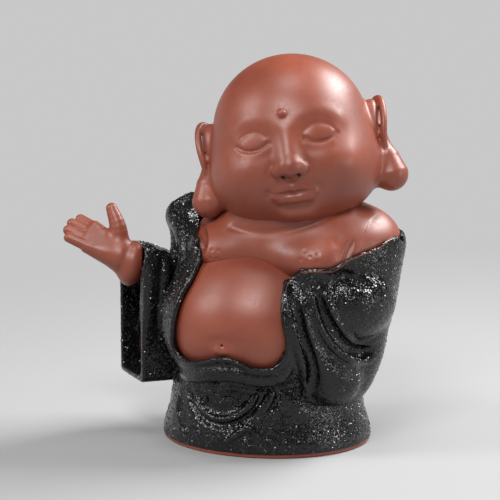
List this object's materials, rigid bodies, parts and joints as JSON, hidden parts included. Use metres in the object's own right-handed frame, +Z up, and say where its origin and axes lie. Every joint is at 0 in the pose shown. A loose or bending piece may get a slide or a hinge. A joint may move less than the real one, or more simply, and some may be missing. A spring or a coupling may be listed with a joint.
{
  "type": "incense burner",
  "caption": "Two-tone clay laughing-monk incense burner: a hollow robed figure that lifts off a base plate with an ash dish and cone stand.",
  "frame": {"origin": "centre of the flat underside of the base plate", "axes": "+Z up, the figure looks along -Y, +X to the figure's left hand side"},
  "size_m": [0.1031, 0.0648, 0.1168],
  "materials": {
    "red_clay": "unglazed fine red-brown clay, burnished to a satin",
    "black_glaze": "black glaze, semi-gloss, fine pitted texture",
    "brass": "spun brass, satin"
  },
  "bodies": {
    "base": {"base_plate": "red_clay"},
    "figure": {"belly": "red_clay", "chest": "red_clay", "head": "red_clay", "right_ear": "red_clay", "left_ear": "red_clay", "forehead_bead": "red_clay", "right_hand": "red_clay", "skirt": "black_glaze", "front_apron": "black_glaze", "robe_back": "black_glaze", "waist_roll": "black_glaze", "right_lapel": "black_glaze", "left_lapel": "black_glaze", "right_collar": "black_glaze", "right_sleeve": "black_glaze", "left_sleeve": "black_glaze"},
    "dish": {"ash_dish": "brass"},
    "holder": {"cone_holder": "brass"}
  },
  "joints": [
    {"name": "figure_lift", "type": "slide", "parent": "base", "child": "figure", "axis": [0, 0, 1], "range_m": [0, 0.04]},
    {"name": "dish_lift", "type": "slide", "parent": "base", "child": "dish", "axis": [0, 0, 1], "range_m": [0, 0.012]},
    {"name": "holder_lift", "type": "slide", "parent": "dish", "child": "holder", "axis": [0, 0, 1], "range_m": [0, 0.01]}
  ]
}
